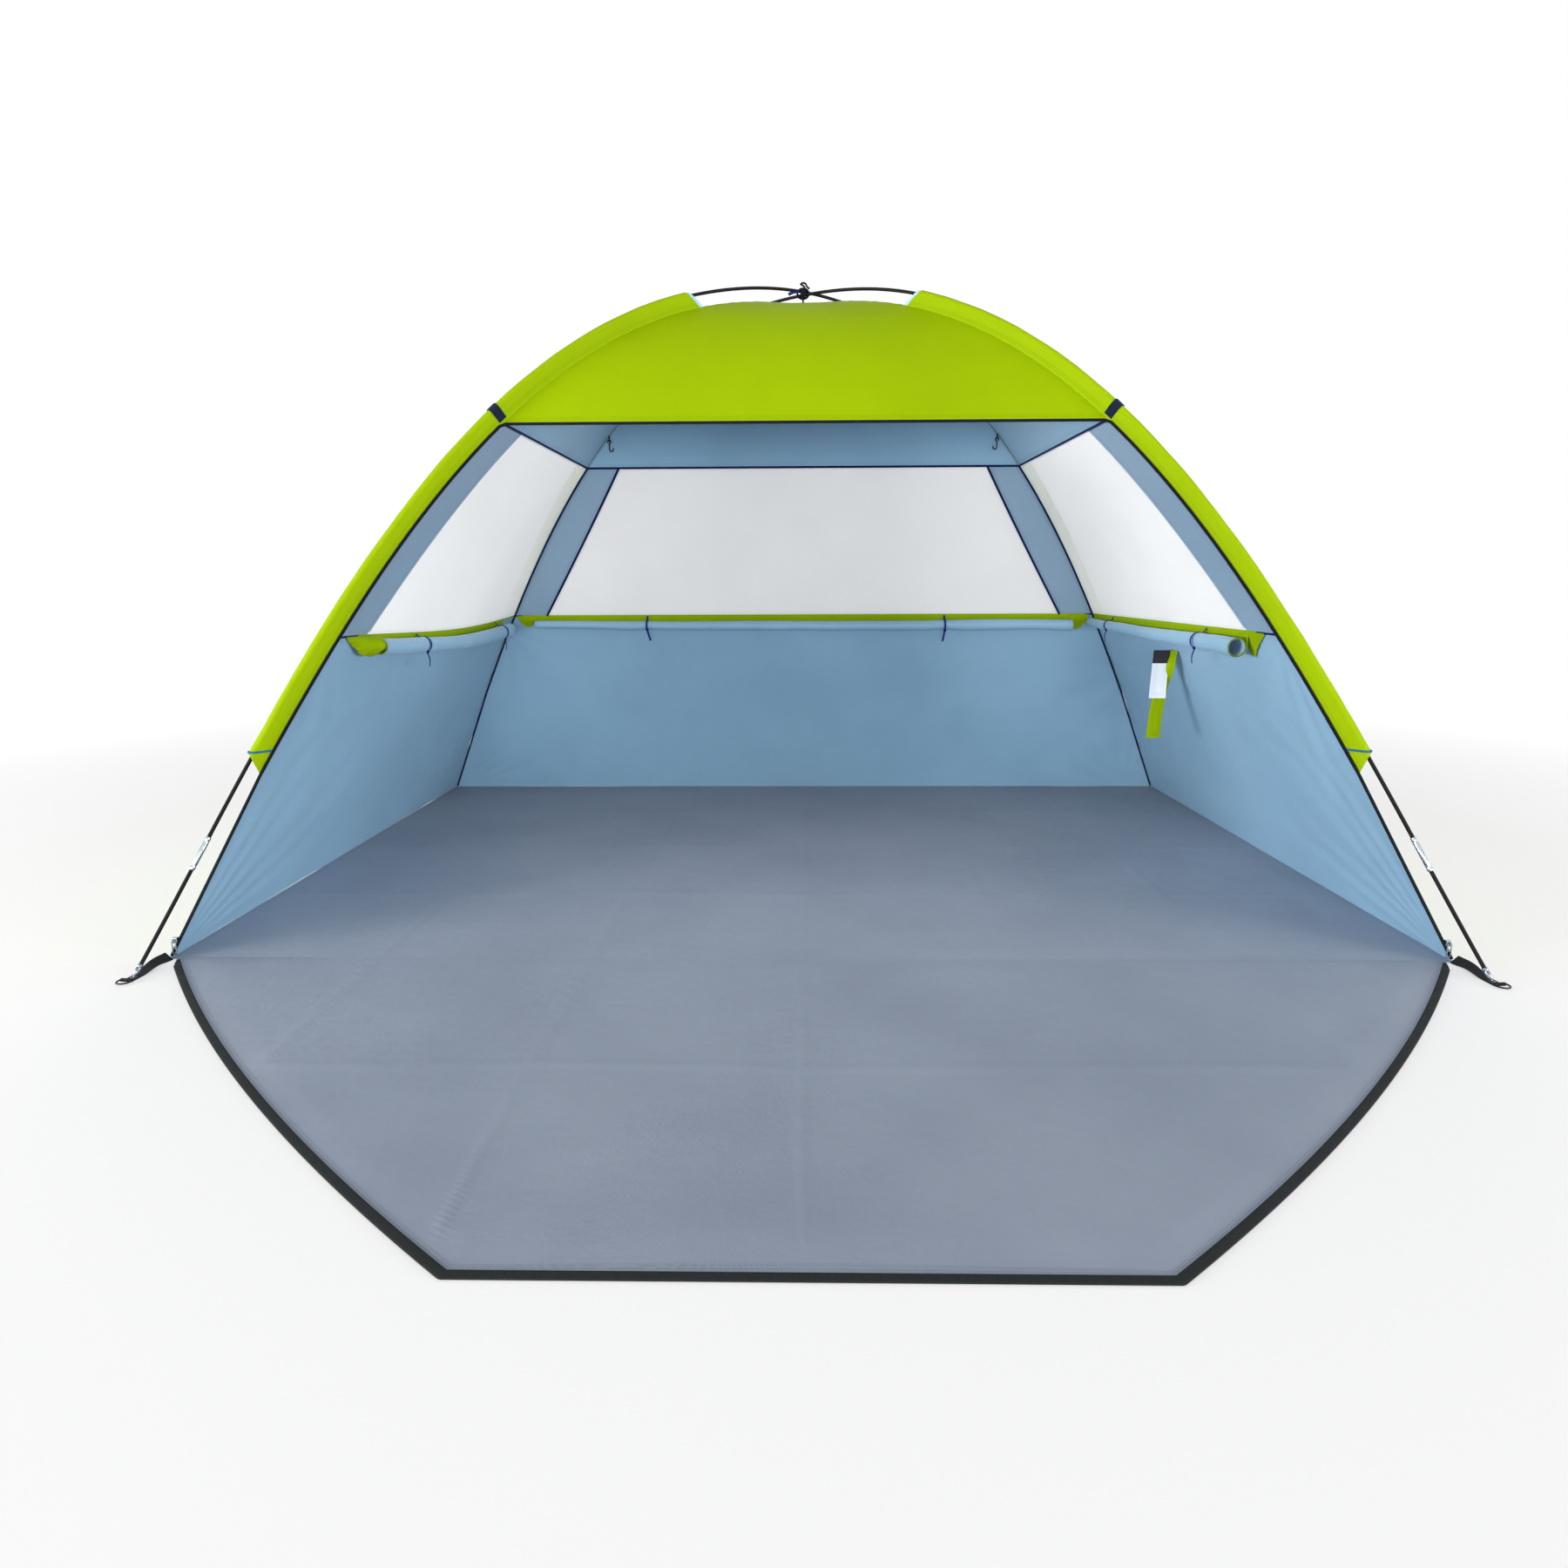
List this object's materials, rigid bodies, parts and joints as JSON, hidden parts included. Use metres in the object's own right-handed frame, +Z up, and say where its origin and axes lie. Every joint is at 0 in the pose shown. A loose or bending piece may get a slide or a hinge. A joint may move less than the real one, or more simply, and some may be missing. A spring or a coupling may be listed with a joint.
{
  "type": "beach tent",
  "caption": "Open-fronted beach tent: two crossed bent poles hold a domed canopy with mesh windows, rolled covers and a porch panel that folds up to close the front.",
  "frame": {"origin": "middle of the ground sheet's underside, where it lies on the ground", "axes": "+X to the right along the tent's width seen from the open front, +Y towards the rear wall, +Z up; the open front and its porch panel face -Y"},
  "size_m": [2.4486, 2.4293, 1.3781],
  "materials": {
    "black_plastic": "moulded plastic",
    "black_pole": "fibreglass rod",
    "black_webbing": "woven webbing and tape",
    "canopy_green": "matt woven polyester",
    "floor_cloth": "coated woven ground sheet",
    "label_white": "satin label tape",
    "navy_trim": "woven binding tape and cord",
    "net": "fine knitted mesh",
    "steel": "plated metal",
    "strip_cloth": "coated woven polyester",
    "wall_cloth": "coated woven polyester"
  },
  "bodies": {
    "tent": {"canopy_roof": "canopy_green", "floor_sheet": "floor_cloth", "front_left_sleeve": "canopy_green", "front_left_tab": "navy_trim", "front_left_web": "black_webbing", "front_right_sleeve": "canopy_green", "front_right_tab": "navy_trim", "front_right_web": "black_webbing", "hub_cord": "black_webbing", "left_front_strip": "strip_cloth", "left_hook_loop": "black_webbing", "left_rear_strip": "strip_cloth", "left_wall": "wall_cloth", "left_window_net": "net", "left_zip_slider": "steel", "opening_piping": "navy_trim", "pole_a_front_ferrule": "steel", "pole_a_front_rod": "black_pole", "pole_a_main_rod": "black_pole", "pole_a_rear_ferrule": "steel", "pole_a_rear_rod": "black_pole", "pole_b_front_ferrule": "steel", "pole_b_front_rod": "black_pole", "pole_b_main_rod": "black_pole", "pole_b_rear_ferrule": "steel", "pole_b_rear_rod": "black_pole", "rear_left_sleeve": "canopy_green", "rear_left_web": "black_webbing", "rear_right_sleeve": "canopy_green", "rear_right_web": "black_webbing", "rear_wall": "wall_cloth", "rear_window_net": "net", "right_front_strip": "strip_cloth", "right_hook_loop": "black_webbing", "right_rear_strip": "strip_cloth", "right_wall": "wall_cloth", "right_window_net": "net", "right_zip_slider": "steel"},
    "porch": {"porch_panel": "floor_cloth", "porch_band": "black_webbing"},
    "left_pull": {"left_zip_pull": "steel"},
    "right_pull": {"right_zip_pull": "steel"},
    "left_hook_body": {"left_hook": "black_plastic"},
    "right_hook_body": {"right_hook": "black_plastic"},
    "rear_cover_body": {"rear_cover": "wall_cloth", "rear_cover_tie_1": "navy_trim", "rear_cover_tie_2": "navy_trim"},
    "left_cover_body": {"left_cover": "wall_cloth", "left_cover_tie_1": "navy_trim", "left_cover_tie_2": "navy_trim"},
    "right_cover_body": {"right_cover": "wall_cloth", "right_cover_tie_1": "navy_trim", "right_cover_tie_2": "navy_trim"},
    "label": {"care_label": "label_white"},
    "strap": {"cover_strap": "canopy_green"},
    "front_left_ring_body": {"front_left_ring": "black_plastic"},
    "front_right_ring_body": {"front_right_ring": "black_plastic"},
    "rear_left_ring_body": {"rear_left_ring": "black_plastic"},
    "rear_right_ring_body": {"rear_right_ring": "black_plastic"}
  },
  "joints": [
    {"name": "porch_hinge", "type": "hinge", "parent": "tent", "child": "porch", "pos_m": [0, -0.75, 0.002], "axis": [-1, 0, 0], "range_deg": [0, 111]},
    {"name": "left_pull_hinge", "type": "hinge", "parent": "tent", "child": "left_pull", "pos_m": [-1.18703, -0.75091, 0.03687], "axis": [-1, 0, 0], "range_deg": [0, 120]},
    {"name": "right_pull_hinge", "type": "hinge", "parent": "tent", "child": "right_pull", "pos_m": [1.18703, -0.75091, 0.03687], "axis": [-1, 0, 0], "range_deg": [0, 120]},
    {"name": "front_left_ring_hinge", "type": "hinge", "parent": "tent", "child": "front_left_ring_body", "pos_m": [-1.21036, -0.84935, 0.0032], "axis": [-0.9946, 0.1038, 0], "range_deg": [0, 90]},
    {"name": "front_right_ring_hinge", "type": "hinge", "parent": "tent", "child": "front_right_ring_body", "pos_m": [1.21036, -0.84935, 0.0032], "axis": [-0.9946, -0.1038, 0], "range_deg": [0, 90]},
    {"name": "rear_left_ring_hinge", "type": "hinge", "parent": "tent", "child": "rear_left_ring_body", "pos_m": [-1.21036, 0.84935, 0.0032], "axis": [0.9946, 0.1038, 0], "range_deg": [0, 90]},
    {"name": "rear_right_ring_hinge", "type": "hinge", "parent": "tent", "child": "rear_right_ring_body", "pos_m": [1.21036, 0.84935, 0.0032], "axis": [0.9946, -0.1038, 0], "range_deg": [0, 90]},
    {"name": "left_hook_hinge", "type": "hinge", "parent": "tent", "child": "left_hook_body", "pos_m": [-0.5347, 0.32619, 1.07357], "axis": [0, 1, 0], "range_deg": [-30, 30]},
    {"name": "right_hook_hinge", "type": "hinge", "parent": "tent", "child": "right_hook_body", "pos_m": [0.5347, 0.32619, 1.07357], "axis": [0, 1, 0], "range_deg": [-30, 30]},
    {"name": "rear_cover_hinge", "type": "hinge", "parent": "tent", "child": "rear_cover_body", "pos_m": [0, 0.56494, 0.5895], "axis": [-1, 0, 0], "range_deg": [0, 40]},
    {"name": "left_cover_hinge", "type": "hinge", "parent": "tent", "child": "left_cover_body", "pos_m": [-0.90391, -0.0175, 0.5895], "axis": [0, -1, 0], "range_deg": [0, 40]},
    {"name": "right_cover_hinge", "type": "hinge", "parent": "tent", "child": "right_cover_body", "pos_m": [0.90391, 0.0275, 0.5895], "axis": [0, 1, 0], "range_deg": [0, 40]},
    {"name": "care_label_hinge", "type": "hinge", "parent": "tent", "child": "label", "pos_m": [0.91544, 0.0225, 0.518], "axis": [-1, 0, 0], "range_deg": [0, 40]},
    {"name": "cover_strap_hinge", "type": "hinge", "parent": "tent", "child": "strap", "pos_m": [0.92594, 0.024, 0.518], "axis": [-1, 0, 0], "range_deg": [-40, 0]}
  ]
}
